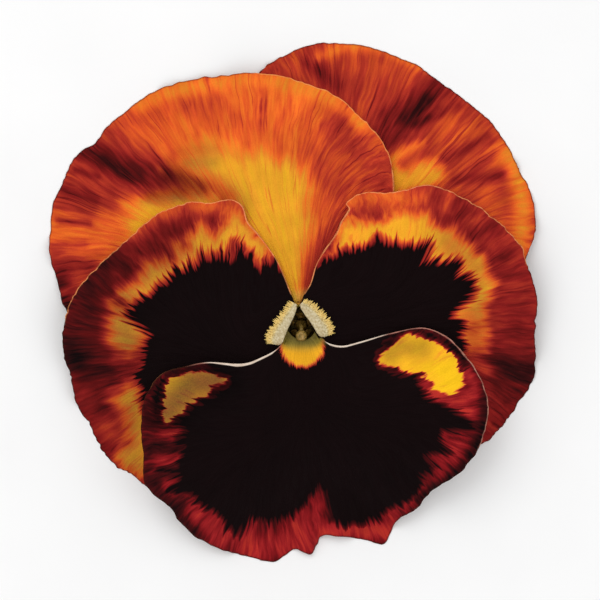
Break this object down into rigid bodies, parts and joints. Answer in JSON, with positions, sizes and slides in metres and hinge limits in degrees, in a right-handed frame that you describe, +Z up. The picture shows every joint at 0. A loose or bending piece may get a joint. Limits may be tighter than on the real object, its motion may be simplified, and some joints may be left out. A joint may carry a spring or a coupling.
{
  "type": "pansy flower",
  "caption": "Cut pansy bloom lying on its back with the face up: overlapping waved petals round a bearded throat, green calyx and short cut stalk behind.",
  "frame": {"origin": "centre of the bounding box in plan, on the surface the bloom lies on", "axes": "+Z up out of the flower's face, +Y towards the upper petals, +X to the right as the face is seen"},
  "size_m": [0.0688, 0.073, 0.0119],
  "materials": {
    "petal_orange_red": "velvety matte petal, orange-red with darker veins",
    "petal_orange": "velvety matte petal, orange with a yellow wedge",
    "petal_maroon_left": "velvety matte petal, maroon with a dark blotch and a cream beard",
    "petal_maroon_right": "velvety matte petal, maroon with a dark blotch and a cream beard",
    "petal_blotched": "velvety matte petal, near-black blotch with yellow patches and a red rim",
    "sepal_green": "soft green leaf skin",
    "stalk_green": "soft green stalk skin",
    "pistil_green": "moist olive-tan",
    "stamen_tan": "matte tan with orange tip scales"
  },
  "bodies": {
    "root": {"upper_petal_right": "petal_orange_red", "upper_petal_left": "petal_orange", "side_petal_left": "petal_maroon_left", "side_petal_right": "petal_maroon_right", "lower_petal": "petal_blotched", "sepal_1": "sepal_green", "sepal_2": "sepal_green", "sepal_3": "sepal_green", "sepal_4": "sepal_green", "sepal_5": "sepal_green", "receptacle": "stalk_green", "pistil": "pistil_green", "stamen_1": "stamen_tan", "stamen_2": "stamen_tan", "stamen_3": "stamen_tan", "stamen_4": "stamen_tan", "stamen_5": "stamen_tan"}
  },
  "joints": []
}
